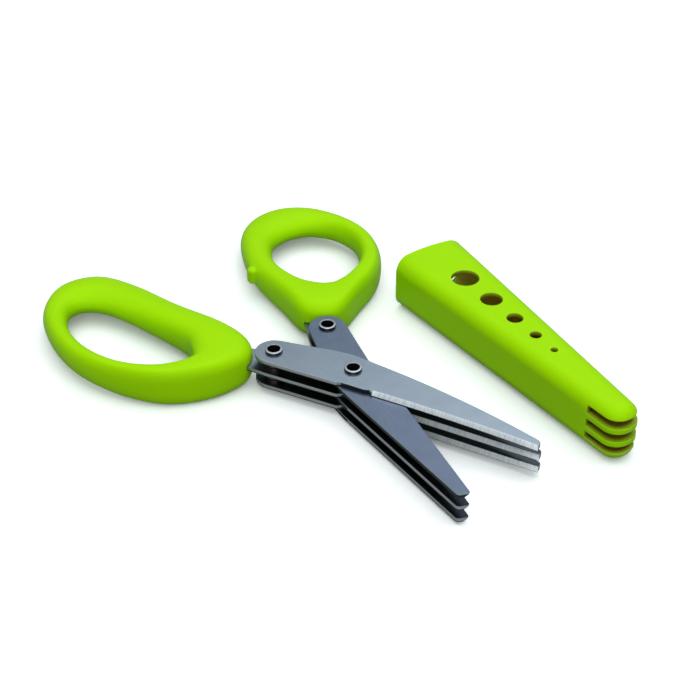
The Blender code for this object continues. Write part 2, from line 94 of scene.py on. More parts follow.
class Board:
    # A node tree, and the one way of adding a node to it
    def __init__(self, tree):
        self.tree = tree

    def node(self, kind, settings=None, sockets=None, output=0):
        made = self.tree.nodes.new(kind)
        settings = dict(settings or {})
        stops = settings.pop("stops", None)
        for name, value in settings.items():
            setattr(made, name, value)
        if stops:
            self.setStops(made.color_ramp, stops)
        for name, value in (sockets or {}).items():
            self.plug(made.inputs[name], value)
        return Value(self, made.outputs[output]) if len(made.outputs) else made

    def setStops(self, ramp, stops):
        while len(ramp.elements) < len(stops):
            ramp.elements.new(0.5)
        for element, (position, shade) in zip(ramp.elements, stops):
            element.position = position
            element.color = (shade, shade, shade, 1)

    def plug(self, socket, value):
        if isinstance(value, (list, tuple)) and any(isinstance(item, Value) for item in value):
            for item in value:
                self.plug(socket, item)
        elif isinstance(value, Value):
            self.tree.links.new(value.socket, socket)
        else:
            socket.default_value = value

    def mix(self, share, first, second):
        colours = [value if isinstance(value, Value) else (*value, 1) for value in (first, second)]
        return self.node("ShaderNodeMix", {"data_type": "RGBA"},
                         {0: share, 6: colours[0], 7: colours[1]}, output=2)

    def shadeBy(self, share, colour, shade):
        # Darkens a colour, in full where the share is 1
        return self.node("ShaderNodeMix", {"data_type": "RGBA", "blend_type": "MULTIPLY"},
                         {0: share, 6: colour, 7: (shade, shade, shade, 1)}, output=2)

    def part(self, place, axis):
        return self.node("ShaderNodeSeparateXYZ", None, {"Vector": place}, output=axis)

    def noise(self, place, scale, detail=3.0, roughness=0.5):
        return self.node("ShaderNodeTexNoise", None,
                         {"Vector": place, "Scale": scale, "Detail": detail, "Roughness": roughness})

    def ramp(self, value, stops):
        return self.node("ShaderNodeValToRGB", {"stops": stops}, {"Fac": value})

    def bump(self, height, distance):
        return self.node("ShaderNodeBump", None,
                         {"Height": height, "Distance": distance, "Strength": 1.0})

    def below(self, value, limit):
        return self.node("ShaderNodeMath", {"operation": "LESS_THAN"}, {0: value, 1: limit})

    def maximum(self, first, second):
        return self.node("ShaderNodeMath", {"operation": "MAXIMUM"}, {0: first, 1: second})

    def place(self, stretch=(1, 1, 1), turn=0.0, centre=(0, 0, 0)):
        # Object coordinates, moved to a centre, turned about Z and stretched
        whole = self.node("ShaderNodeTexCoord", output="Object")
        moved = self.node("ShaderNodeMapping", None,
                          {"Vector": whole, "Location": [-value for value in centre]})
        turned = self.node("ShaderNodeMapping", None,
                           {"Vector": moved, "Rotation": (0, 0, -math.radians(turn))})
        return self.node("ShaderNodeMapping", None, {"Vector": turned, "Scale": stretch})


def newMaterial(name, look):
    # A material with the uniform values of its look; returns it with its board and its shader
    material = bpy.data.materials.new(name)
    material.use_nodes = True
    tree = material.node_tree
    shader = tree.nodes["Principled BSDF"]
    shader.inputs["Base Color"].default_value = (*look["colour"], 1)
    shader.inputs["Roughness"].default_value = look["roughness"]
    shader.inputs["Metallic"].default_value = look.get("metallic", 0.0)
    shader.inputs["Specular IOR Level"].default_value = look.get("gloss", 0.5)
    shader.inputs["Specular Tint"].default_value = (*look.get("glossColour", (1, 1, 1)), 1)
    return material, Board(tree), shader.inputs


# Moulded plastic

plasticLook = {
    "colour": (0.39, 0.83, 0.002),
    "deepColour": (0.36, 0.79, 0.001),
    "gloss": 0.10,
    "glossColour": (0.75, 1.0, 0.25),
    "roughness": 0.38,
    "roughnessSpread": 0.08,
    "cloudSize": 0.03,
    "grainSize": 0.00035,
    "grainHeight": 0.000012,
}


def makePlastic(name, look):
    material, board, shader = newMaterial(name, look)
    place = board.place()
    cloud = board.noise(place, 1 / look["cloudSize"], 4.0)
    grain = board.noise(place, 1 / look["grainSize"], 2.0)
    board.plug(shader["Base Color"], board.mix(cloud, look["colour"], look["deepColour"]))
    board.plug(shader["Roughness"], look["roughness"] + (cloud - 0.5) * look["roughnessSpread"])
    board.plug(shader["Normal"], board.bump(grain, look["grainHeight"]))
    return material


# Painted shade inside the cover: the brown stands for green plastic in shade
insideShadeLook = {
    "colour": (0.50, 0.40, 0.008),
    "mouthColour": (0.30, 0.55, 0.002),
    "fadeLength": 0.005,
    "fadeSpread": 0.3,
    "roughness": 0.6,
    "roughnessSpread": 0.1,
    "cloudSize": 0.01,
    "grainSize": 0.0006,
    "grainHeight": 0.00002,
}

# Painted shade in slots and holes, deepening with depth
slotLook = {
    "colour": (0.33, 0.60, 0.002),
    "deepColour": (0.20, 0.13, 0.003),
    "fadeSpread": 0.2,
    "deepFrom": 0.8,
    "roughness": 0.5,
    "grainScale": 900.0,
}


def makeSlotShade(look):
    # Painted shade: green at the lip of a slot or a hole, turning brown in its depth
    material, board, shader = newMaterial("slotShade", look)
    depth = board.node("ShaderNodeAttribute", {"attribute_name": "depth"}, output="Fac")
    grain = board.noise(board.place(), look["grainScale"], 2.0)
    share = board.ramp(depth + (grain - 0.5) * look["fadeSpread"],
                       ((0.0, 0.0), (look["deepFrom"], 1.0)))
    board.plug(shader["Base Color"], board.mix(share, look["colour"], look["deepColour"]))
    return material


def makeCoverInsideShade(look, shape):
    # Painted shade: green at the mouth, turning brown deeper inside, where the green plastic lies in
    # shade
    material, board, shader = newMaterial("coverInsideShade", look)
    place = board.place((1, 1, 1), shape["direction"], mouthPlace(shape))
    depth = board.part(place, "X")
    cloud = board.noise(place, 1 / look["cloudSize"], 3.0)
    grain = board.noise(place, 1 / look["grainSize"], 2.0)
    share = board.ramp(depth / look["fadeLength"] + (cloud - 0.5) * look["fadeSpread"],
                       ((0.0, 0.0), (1.0, 1.0)))
    board.plug(shader["Base Color"], board.mix(share, look["mouthColour"], look["colour"]))
    board.plug(shader["Roughness"], look["roughness"] + (cloud - 0.5) * look["roughnessSpread"])
    board.plug(shader["Normal"], board.bump(grain, look["grainHeight"]))
    return material


greenPlastic = makePlastic("greenPlastic", plasticLook)
slotShade = makeSlotShade(slotLook)


# Steel

bladeLook = {
    # Painted shade: the thumb blades are the same steel as the finger blades, given a darker tone and
    # a tip shade for the dimmer reflections they catch
    "finger": {"colour": (0.41, 0.50, 0.595), "darkColour": (0.325, 0.405, 0.49), "tipShade": 1.0},
    "thumb": {"colour": (0.245, 0.315, 0.435), "darkColour": (0.18, 0.237, 0.34), "tipShade": 0.75},
    "tipFadeFrom": -0.03,
    "tipFadeLength": 0.1,
    "gapShade": 0.2,
    "gapFrom": -0.0365,
    "gapFadeLength": 0.0025,
    "metallic": 1.0,
    "roughness": 0.34,
    "streakLength": 0.003,
    "streakWidth": 0.0002,
    "streakHeight": 0.00002,
    "streakShare": 0.7,
    "blotchScale": 160.0,
    "shadeStops": ((0.3, 0.0), (0.7, 1.0)),
    "roughnessSpread": 0.12,
}

groundLook = {
    "colour": (0.76, 0.84, 0.86),
    "darkColour": (0.52, 0.59, 0.64),
    # Painted shade on the ground edges of the lower blades, deepest at the heel
    "lowerShade": 0.3,
    "brightAt": 0.073,
    "metallic": 0.3,
    "roughness": 0.38,
    "markPitch": 0.00045,
    "markStretch": 12,
    "markHeight": 0.00001,
    "shadeStops": ((0.35, 0.0), (0.6, 1.0)),
}

sideLook = {
    "colour": (0.48, 0.52, 0.52),
    "darkColour": (0.32, 0.35, 0.35),
    # The dark band's colour is partly the torn steel and partly painted shade
    "tornAndShadeColour": (0.04, 0.045, 0.05),
    "tornAndShadeHeights": {"thumb_blade_top": 0.0012},
    "tornHeight": 0.0004,
    "reliefShadeHeight": 0.0013,
    "reliefLength": 0.0105,
    "metallic": 1.0,
    "roughness": 0.45,
    "tearPitch": 0.0004,
    "tearStretch": 10,
    "tearHeight": 0.00002,
}


def makeBladeSteel(name, look, tone, direction, inStack):
    # Fine grinding streaks that run along the blade. Painted shade: a blade darkens toward its tip by
    # its tone's tip shade, and faces inside the stack lie in each other's shade
    material, board, shader = newMaterial(name, {**look, **tone})
    along = board.part(board.place((1, 1, 1), direction, pivot), "X")
    stretch = (1 / look["streakLength"], 1 / look["streakWidth"], 1 / look["streakLength"])
    streaks = board.noise(board.place(stretch, direction, pivot), 1.0, 5.0, 0.6)
    blotches = board.noise(board.place((1, 1, 1), direction, pivot), look["blotchScale"])
    streakShare = look["streakShare"]
    share = board.ramp(streaks * streakShare + blotches * (1 - streakShare), look["shadeStops"])
    metal = board.mix(share, tone["darkColour"], tone["colour"])
    # Painted shade, deepening toward the tip
    tipShare = (along - look["tipFadeFrom"]) / look["tipFadeLength"]
    metal = board.shadeBy(tipShare, metal, tone["tipShade"])
    # Painted shade where the blades of the stack lie over each other
    if inStack:
        gapShare = (along - look["gapFrom"]) / look["gapFadeLength"]
        metal = board.shadeBy(gapShare, metal, look["gapShade"])
    board.plug(shader["Base Color"], metal)
    board.plug(shader["Roughness"], look["roughness"] + (streaks - 0.5) * look["roughnessSpread"])
    board.plug(shader["Normal"], board.bump(streaks, look["streakHeight"]))
    return material


def makeGroundSteel(name, look, direction, heelShade):
    # Grinding marks that run across the edge; a heel shade below 1 is painted shade, darkening the
    # edge toward its heel
    material, board, shader = newMaterial(name, look)
    fine = 1 / look["markPitch"]
    stretch = (fine, fine / look["markStretch"], fine / look["markStretch"])
    marks = board.noise(board.place(stretch, direction, pivot), 1.0, 3.0, 0.7)
    shade = board.ramp(marks, look["shadeStops"])
    metal = board.mix(shade, look["darkColour"], look["colour"])
    along = board.part(board.place((1, 1, 1), direction, pivot), "X")
    board.plug(shader["Base Color"], board.shadeBy(1 - along / look["brightAt"], metal, heelShade))
    board.plug(shader["Normal"], board.bump(marks, look["markHeight"]))
    return material


def makeSideSteel(node, look, direction):
    # Stamping leaves a clean band round a blade and a dark torn one under it. The dark band is
    # deepened by painted shade on the thumb's top blade and along the relief by the heel
    material, board, shader = newMaterial(node + "Side", look)
    fine = 1 / look["tearPitch"]
    stretch = (fine, fine, fine / look["tearStretch"])
    tears = board.noise(board.place(stretch, direction, pivot), 1.0, 3.0, 0.6)
    height = board.part(board.place(centre=(0, 0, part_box(node)[0].z)), "Z")
    along = board.part(board.place((1, 1, 1), direction, pivot), "X")
    # Painted shade along the relief by the heel
    inRelief = board.below(along, look["reliefLength"]) - board.below(along, 0.0)
    tornAndShaded = board.maximum(board.below(height, look["tornAndShadeHeights"].get(node, look["tornHeight"])),
                         inRelief * board.below(height, look["reliefShadeHeight"]))
    metal = board.mix(tears, look["darkColour"], look["colour"])
    board.plug(shader["Base Color"], board.mix(tornAndShaded, metal, look["tornAndShadeColour"]))
    board.plug(shader["Normal"], board.bump(tears, look["tearHeight"]))
    return material


for sideName, half in halves.items():
    tone = bladeLook[sideName]
    half["steel"] = makeBladeSteel(sideName + "BladeSteel", bladeLook, tone, half["direction"], False)
    half["gap"] = makeBladeSteel(sideName + "GapSteel", bladeLook, tone, half["direction"], True)
    half["ground"] = makeGroundSteel(sideName + "GroundSteel", groundLook, half["direction"], 1.0)
    half["lowerGround"] = makeGroundSteel(sideName + "LowerGroundSteel", groundLook, half["direction"],
                                          groundLook["lowerShade"])


# Metal of the rivets and spacers

rivetLook = {
    "colour": (0.62, 0.68, 0.74),
    "darkColour": (0.46, 0.51, 0.57),
    "wallColour": (0.05, 0.055, 0.065),
    "rimHeight": 0.0002,
    "metallic": 1.0,
    "roughness": 0.32,
    "turningPitch": 0.00025,
    "turningHeight": 0.00001,
}

spacerLook = {
    "colour": (0.80, 0.52, 0.42),
    "darkColour": (0.45, 0.27, 0.20),
    "metallic": 1.0,
    "roughness": 0.35,
    "turningPitch": 0.0003,
    "turningHeight": 0.00002,
}

# Painted shade: the bore is near black for the shade deep inside it
boreShadeLook = {
    "colour": (0.035, 0.035, 0.04),
    "darkColour": (0.015, 0.015, 0.018),
    "metallic": 1.0,
    "roughness": 0.5,
    "turningPitch": 0.0003,
    "turningHeight": 0.00002,
}


turnedGrain = {"acrossScale": 30.0, "cloudScale": 900.0, "shadeStops": ((0.35, 0.0), (0.65, 1.0))}


def turningRings(board, look):
    # Fine rings round a turned piece
    across = turnedGrain["acrossScale"]
    return board.noise(board.place((across, across, 1 / look["turningPitch"])), 1.0, 2.0)


def makeTurnedMetal(name, look):
    material, board, shader = newMaterial(name, look)
    rings = turningRings(board, look)
    cloud = board.noise(board.place(), turnedGrain["cloudScale"])
    shade = board.ramp(rings * 0.5 + cloud * 0.5, turnedGrain["shadeStops"])
    board.plug(shader["Base Color"], board.mix(shade, look["darkColour"], look["colour"]))
    board.plug(shader["Normal"], board.bump(rings, look["turningHeight"]))
    return material


def makeRivetSteel(node, look):
    # The wall under each rolled rim lies in the rim's own shade
    material, board, shader = newMaterial(node + "Steel", look)
    low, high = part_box(node)
    height = board.part(board.place(centre=(low + high) / 2), "Z")
    fromMiddle = board.maximum(height, height * -1)
    wall = board.below(fromMiddle, (high.z - low.z) / 2 - look["rimHeight"])
    rings = turningRings(board, look)
    metal = board.mix(rings, look["darkColour"], look["colour"])
    board.plug(shader["Base Color"], board.mix(wall, metal, look["wallColour"]))
    board.plug(shader["Normal"], board.bump(rings, look["turningHeight"]))
    return material


spacerMetal = makeTurnedMetal("spacerMetal", spacerLook)
shadedBore = makeTurnedMetal("shadedBore", boreShadeLook)
print("materials made")


# Making pieces

def newObject(name, mesh):
    piece = bpy.data.objects.new(name, mesh)
    bpy.context.scene.collection.objects.link(piece)
    return piece


def keepEvaluated(piece):
    # Turns a piece and its modifiers into a plain mesh
    graph = bpy.context.evaluated_depsgraph_get()
    mesh = bpy.data.meshes.new_from_object(piece.evaluated_get(graph))
    piece.modifiers.clear()
    piece.data = mesh
    return piece


def seat(piece, body, slot, *replaced):
    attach(piece, body)
    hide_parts(*replaced)


def mergedCopy(node):
    # A copy of a node's loose triangles, merged
    shape = bmesh.new()
    shape.from_mesh(frame["nodes"][node].data)
    bmesh.ops.remove_doubles(shape, verts=shape.verts, dist=weldWithin)
    return shape


def finishShape(shape, name, materials):
    mesh = bpy.data.meshes.new(name)
    shape.to_mesh(mesh)
    shape.free()
    for material in materials:
        mesh.materials.append(material)
    return newObject(name, mesh)


def addModifier(piece, kind, **settings):
    modifier = piece.modifiers.new(kind.lower(), kind)
    for name, value in settings.items():
        setattr(modifier, name, value)
    return modifier


def bevelEdges(piece, width, steps, over):
    # Rounds the edges that turn by more than some degrees
    addModifier(piece, "BEVEL", width=width, segments=steps, limit_method="ANGLE",
                angle_limit=math.radians(over))
    keepEvaluated(piece)


def smoothUnder(piece, degrees):
    piece.data.shade_smooth()
    piece.data.set_sharp_from_angle(angle=math.radians(degrees))


def makeTree(name, inputs):
    # A geometry node tree with named inputs; returns its board and the values of its inputs
    tree = bpy.data.node_groups.new(name, "GeometryNodeTree")
    tree.interface.new_socket("Geometry", in_out="INPUT", socket_type="NodeSocketGeometry")
    for title, kind in inputs.items():
        tree.interface.new_socket(title, in_out="INPUT", socket_type="NodeSocket" + kind)
    tree.interface.new_socket("Geometry", in_out="OUTPUT", socket_type="NodeSocketGeometry")
    board = Board(tree)
    sockets = tree.nodes.new("NodeGroupInput").outputs
    return board, {socket.name: Value(board, socket) for socket in sockets if socket.name}


def runTree(piece, board, **values):
    # Runs a tree on a piece with its inputs set, and keeps the plain mesh
    modifier = addModifier(piece, "NODES", node_group=board.tree)
    for item in board.tree.interface.items_tree:
        if item.in_out == "INPUT" and item.name in values:
            modifier[item.identifier] = values[item.name]
    return keepEvaluated(piece)


def outlineObject(name, points, links):
    # A mesh of points, each linked to the next as far as the links go
    edges = [(i, (i + 1) % len(points)) for i in range(links)]
    mesh = bpy.data.meshes.new(name)
    mesh.from_pydata([(*point, 0) for point in points], edges, [])
    return newObject(name, mesh)


def flattenBroad(piece, upright):
    # Broad level faces keep one flat shade, without streaks from the rounding beside them
    for face in piece.data.polygons:
        if abs(face.normal.z) > upright:
            face.use_smooth = False


# Handles

bowFinish = {"joinSlope": 30, "joinSkew": 60, "creaseOver": 40, "sharpOver": 40, "smoothing": 2}
nubShape = {"fromPivot": (-0.0381, 0.0682), "radius": 0.0024, "low": 0.0058, "high": 0.0124,
            "rounding": 0.0016, "steps": 8}
castNub = {"fromPivot": (-0.03882, 0.07071), "reach": 0.0027, "low": 0.0046, "high": 0.0113,
           "shrink": 0.8}


def coverNub(shape, look, nub):
    # The handle's own peg is drawn in under the rounder one that is turned for it
    centres = [pivot.xy.to_3d() + Vector((*item["fromPivot"], (item["low"] + item["high"]) / 2))
               for item in (look, nub)]
    for vertex in shape.verts:
        offset = vertex.co - centres[0]
        if offset.xy.length < look["reach"] and abs(offset.z) < (look["high"] - look["low"]) / 2:
            vertex.co = centres[1] + offset * look["shrink"]


def makeBow(sideName, finish):
    node = sideName + "_handle"
    shape = mergedCopy(node)
    bmesh.ops.join_triangles(shape, faces=shape.faces,
                             angle_face_threshold=math.radians(finish["joinSlope"]),
                             angle_shape_threshold=math.radians(finish["joinSkew"]))
    if sideName == "thumb":
        coverNub(shape, castNub, nubShape)
    crease = shape.edges.layers.float.new("crease_edge")
    for edge in shape.edges:
        if edge.calc_face_angle(0) > math.radians(finish["creaseOver"]):
            edge[crease] = 1.0
    piece = finishShape(shape, sideName + "Bow", [greenPlastic])
    smoothing = finish["smoothing"]
    addModifier(piece, "SUBSURF", levels=smoothing, render_levels=smoothing)
    keepEvaluated(piece)
    smoothUnder(piece, finish["sharpOver"])
    seat(piece, halves[sideName]["body"], "green_plastic", node)


for sideName in halves:
    makeBow(sideName, bowFinish)
print("handles made")


# Blades

bladeFinish = {"mergeSlope": 0.5, "edgeBreak": 0.00012, "steps": 2, "breakOver": 20, "sharpOver": 25,
               "levelOver": 0.98, "groundOver": 0.2, "flatOver": 0.99999}
fingerBend = {
    "backStart": 0.003,
    "backEnd": 0.072,
    "backBow": 0.0017,
    "edgeStart": 0.0105,
    "edgeEnd": 0.0739,
    "edgeBow": 0.00075,
    "heelLift": 0.0006,
    "tipLift": 0.0022,
    "lowerTipLift": 0.0016,
    "tipDraw": 0.0007,
    "grindTrim": 0.00075,
    "backAbove": -0.005,
    "grindAbove": -0.0075,
    "stations": 12,
}
thumbTip = {"start": 0.0720, "above": 0.0055, "rounding": 0.0009, "steps": 4}


def bladeAxes(sideName):
    # Along a blade, and across it
    turn = math.radians(halves[sideName]["direction"])
    return Vector((math.cos(turn), math.sin(turn), 0)), Vector((-math.sin(turn), math.cos(turn), 0))


def roundTip(shape, look):
    # The corner of a thumb blade where its ground edge meets its end
    direction, across = bladeAxes("thumb")
    corner = [vertex for vertex in shape.verts if (vertex.co - pivot).dot(direction) > look["start"]
              and (vertex.co - pivot).dot(across) > look["above"]]
    upright = [edge for edge in shape.edges if all(vertex in corner for vertex in edge.verts)
               and edge.verts[0].co.z != edge.verts[1].co.z]
    bmesh.ops.bevel(shape, geom=upright, offset=look["rounding"], segments=look["steps"], profile=0.5,
                    affect="EDGES")


def bendBlade(shape, level, look):
    # A finger blade's back is bowed outward, and its ground edge rises toward the tip
    direction, across = bladeAxes("finger")
    backLength = look["backEnd"] - look["backStart"]
    for i in range(1, look["stations"]):
        station = pivot + direction * (look["backStart"] + backLength * i / look["stations"])
        bmesh.ops.bisect_plane(shape, geom=[*shape.verts, *shape.edges, *shape.faces],
                               plane_co=station, plane_no=direction)
    for vertex in shape.verts:
        along, side = ((vertex.co - pivot).dot(axis) for axis in (direction, across))
        if side > look["backAbove"]:
            share = min(max((along - look["backStart"]) / backLength, 0), 1)
            lift = look["backBow"] * 4 * share * (1 - share)
            vertex.co += across * (lift + look["lowerTipLift"] * share ** 3 * (level != "top"))
        elif along > look["edgeStart"]:
            share = (along - look["edgeStart"]) / (look["edgeEnd"] - look["edgeStart"])
            lift = look["heelLift"] + (look["tipLift"] - look["heelLift"]) * share
            lift += look["edgeBow"] * 4 * share * (1 - share)
            lift += look["lowerTipLift"] * share ** 3 * (level != "top")
            lift -= look["grindTrim"] * (side > look["grindAbove"])
            vertex.co += across * lift - direction * look["tipDraw"] * share


def faceKind(face, level, finish):
    # 0 for the broad faces, 1 for the ground edge, 2 for the sides, 3 for broad faces inside the stack
    upright = abs(face.normal.z)
    if upright < finish["levelOver"]:
        return 1 if upright > finish["groundOver"] else 2
    outward = 1 if level == "top" else -1 if level == "bottom" else 0
    return 0 if face.normal.z * outward > 0 else 3


def makeBlade(sideName, level, finish):
    node = f"{sideName}_blade_{level}"
    half = halves[sideName]
    shape = mergedCopy(node)
    bmesh.ops.dissolve_limit(shape, angle_limit=math.radians(finish["mergeSlope"]), verts=shape.verts,
                             edges=shape.edges)
    if sideName == "finger":
        bendBlade(shape, level, fingerBend)
    else:
        roundTip(shape, thumbTip)
    shape.normal_update()
    for face in shape.faces:
        face.material_index = faceKind(face, level, finish)
    side = makeSideSteel(node, sideLook, half["direction"])
    ground = half["ground"] if level == "top" else half["lowerGround"]
    metals = [half["steel"], ground, side, half["gap"]]
    piece = finishShape(shape, f"{sideName}Blade.{level}", metals)
    bevelEdges(piece, finish["edgeBreak"], finish["steps"], finish["breakOver"])
    smoothUnder(piece, finish["sharpOver"])
    flattenBroad(piece, finish["flatOver"])
    seat(piece, half["body"], "blade_steel", node)


for sideName in halves:
    for level in levels:
        makeBlade(sideName, level, bladeFinish)
print("blades made")


# Rivets and spacers, all turned by one tree

rivetShape = {
    "boreRadius": 0.00215,
    "mouthRadius": 0.0023,
    "rimRadius": 0.0031,
    "shankRadius": 0.0026,
    "outerRounding": 0.00018,
    "innerRounding": 0.00012,
    "crownDrop": 0.00003,
    "steps": 6,
}
spacerShape = {"gap": 0.00005, "rounding": 0.0002, "grooveDepth": 0.00015, "steps": 5}
turning = {"turns": 72, "axisRadius": 0.003, "sharpOver": 35, "flatOver": 0.99}


def makeTurnedTree():
    # A curve, drawn beside a circle about the upright axis, is swept round that circle
    board, inputs = makeTree("turned", {"Turns": "Int", "Axis Radius": "Float", "Bore Radius": "Float",
                                        "Metal": "Material", "Bore Metal": "Material"})
    loop = board.node("GeometryNodeMeshToCurve", None, {"Mesh": inputs["Geometry"]})
    circle = board.node("GeometryNodeCurvePrimitiveCircle", None,
                        {"Resolution": inputs["Turns"], "Radius": inputs["Axis Radius"]})
    swept = board.node("GeometryNodeCurveToMesh", None, {"Curve": circle, "Profile Curve": loop})
    place = board.node("GeometryNodeInputPosition")
    across = board.part(place, "X")
    along = board.part(place, "Y")
    inBore = board.below((across * across + along * along) ** 0.5, inputs["Bore Radius"])
    welded = board.node("GeometryNodeMergeByDistance", None,
                        {"Geometry": swept, "Distance": weldWithin})
    whole = board.node("GeometryNodeRealizeInstances", None, {"Geometry": welded})
    metal = board.node("GeometryNodeSetMaterial", None,
                       {"Geometry": whole, "Material": inputs["Metal"]})
    dark = board.node("GeometryNodeSetMaterial", None,
                      {"Geometry": metal, "Selection": inBore, "Material": inputs["Bore Metal"]})
    board.node("NodeGroupOutput", None, {"Geometry": dark})
    return board


def rimCurve(look, seatHeight, endHeight):
    # Over the rolled rim, from its foot on the blade to the mouth of the bore
    upward = 1 if endHeight > seatHeight else -1
    points = [(look["shankRadius"], seatHeight), (look["rimRadius"], seatHeight)]
    outer = look["outerRounding"]
    corners = ((look["rimRadius"] - outer, outer, 0, look["crownDrop"]),
               (look["mouthRadius"] + look["innerRounding"], look["innerRounding"], 90, 0))
    for centre, rounding, start, drop in corners:
        level = endHeight - upward * (rounding + drop)
        for i in range(look["steps"] + 1):
            angle = math.radians(start + 90 * i / look["steps"])
            points.append((centre + rounding * math.cos(angle),
                           level + upward * rounding * math.sin(angle)))
    points.append((look["boreRadius"], seatHeight))
    return points


def spacerCurve(look, inner, outer, low, high):
    # A ring with rounded edges and a shallow groove round its rim
    rounding = look["rounding"]
    points = [(inner, low)]
    for centre, start in ((low + rounding, -90), (high - rounding, 0)):
        for i in range(look["steps"] + 1):
            angle = math.radians(start + 90 * i / look["steps"])
            points.append((outer - rounding + rounding * math.cos(angle),
                           centre + rounding * math.sin(angle)))
        if start < 0:
            points.append((outer - look["grooveDepth"], (low + high) / 2))
    return points + [(inner, high)]


def makeTurned(name, curve, links, centre, metal, boreRadius=0.0):
    points = [(radius - turning["axisRadius"], -height) for radius, height in reversed(curve)]
    piece = outlineObject(name + "Turned", points, links)
    runTree(piece, turnedTree, **{"Turns": turning["turns"], "Axis Radius": turning["axisRadius"],
                                  "Bore Radius": boreRadius, "Metal": metal, "Bore Metal": shadedBore})
    piece.data.transform(Matrix.Translation((centre[0], centre[1], 0)))
    smoothUnder(piece, turning["sharpOver"])
    flattenBroad(piece, turning["flatOver"])
    return piece


def makeRivet(node, topBlade, bottomBlade, body):
    low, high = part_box(node)
    upper = rimCurve(rivetShape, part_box(topBlade)[1].z, high.z)
    lower = rimCurve(rivetShape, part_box(bottomBlade)[0].z, low.z)
    curve = upper + lower[::-1]
    metal = makeRivetSteel(node, rivetLook)
    piece = makeTurned(node, curve, len(curve), (low + high) / 2, metal, rivetShape["mouthRadius"])
    seat(piece, body, "rivet_steel", node)


def makeSpacer(node, body):
    low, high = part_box(node)
    inner = rivetShape["shankRadius"] + spacerShape["gap"]
    curve = spacerCurve(spacerShape, inner, (high.x - low.x) / 2, low.z, high.z)
    piece = makeTurned(node, curve, len(curve), (low + high) / 2, spacerMetal)
    seat(piece, body, "spacer_metal", node)


def makeNub(look):
    # The peg on the thumb handle, with a rounded end at its top and its foot
    curve = [(0, look["low"])]
    for level, side in ((look["low"] + look["rounding"], -1), (look["high"] - look["rounding"], 0)):
        for i in range(look["steps"] + 1):
            angle = math.pi / 2 * (side + i / look["steps"])
            curve.append((look["radius"] - look["rounding"] * (1 - math.cos(angle)),
                          level + look["rounding"] * math.sin(angle)))
    curve.append((0, look["high"]))
    centre = pivot + Vector((*look["fromPivot"], 0))
    piece = makeTurned("thumbNub", curve, len(curve) - 1, centre, greenPlastic)
    seat(piece, "thumb_half", "green_plastic", "thumb_handle")


turnedTree = makeTurnedTree()
makeNub(nubShape)
for sideName, half in halves.items():
    makeRivet(sideName + "_rear_rivet", sideName + "_blade_top", sideName + "_blade_bottom",
              half["body"])
makeRivet("pivot_rivet", "finger_blade_top", "thumb_blade_bottom", "finger_half")
for node in frame["nodes"]:
    if "spacer" in node:
        makeSpacer(node, "thumb_half" if node.startswith("thumb") else "finger_half")
print("rivets and spacers made")


# Cover

coverShape = {
    "length": 0.1176,
    "height": 0.0214,
    "mouthWidth": 0.030,
    "mouthBow": 0.0019,
    "tipWidth": 0.0126,
    "tipRoundingShare": 0.98,
    "edgeRadius": 0.0056,
    "wall": 0.002,
    "flatRim": 0.0003,
    "mouthFromPivot": (0.0288, 0.0674),
    "direction": -58.0,
    "slotTop": 0.01795,
    "slotHeight": 0.0031,
    "slotPitch": 0.0053,
    "slotCount": 3,
    "slotDepth": 0.0138,
    "sideSteps": 8,
    "tipSteps": 12,
    "arcSteps": (7, 4, 3, 8),
    "mouthSteps": 4,
}
holeRow = {"first": 0.0235, "step": 0.0163, "stepShare": 0.863,
           "widths": (0.0103, 0.0081, 0.0059, 0.0042, 0.0026), "sides": 64, "depth": 0.008}
coverEdges = {"rounding": 0.0003, "steps": 3, "roundOver": 50, "sharpOver": 35, "flatOver": 0.99999}
tipComb = {"insets": (0.0007, 0.0013, 0.002, 0.003), "overlap": 0.00002, "skin": 0.00025,
           "flatOver": 0.99999}


def mouthPlace(look):
    return (pivot.x + look["mouthFromPivot"][0], pivot.y + look["mouthFromPivot"][1], 0)


def coverPlace(look):
    turned = Matrix.Rotation(math.radians(look["direction"]), 4, "Z")
    return Matrix.Translation(mouthPlace(look)) @ turned


def slotTops(look):
    return [look["slotTop"] - look["slotPitch"] * i for i in range(look["slotCount"])]


def coverOutline(look, inset):
    # Half of the outline, drawn in by the inset, from the mouth to the middle of the tip
    half = look["mouthWidth"] / 2
    slope = (half - look["tipWidth"] / 2) / look["length"]
    lean = math.atan(slope)
    rounding = look["tipWidth"] / 2 * look["tipRoundingShare"]
    radius = rounding - inset
    centreX = look["length"] - rounding
    centreY = half - inset - slope * centreX - radius / math.cos(lean)
    slotStart = look["length"] - look["slotDepth"]
    straight = [slotStart * i / look["sideSteps"] for i in range(look["sideSteps"] + 1)]
    points = [Vector((x, half - inset - slope * x)) for x in straight]
    points[0].x = -look["mouthBow"] * (1 - (points[0].y / half) ** 2)
    for i in range(look["tipSteps"] + 1):
        angle = (math.pi / 2 - lean) * (1 - i / look["tipSteps"])
        points.append(Vector((centreX + radius * math.cos(angle), centreY + radius * math.sin(angle))))
    return points + [Vector((look["length"] - inset, 0))]


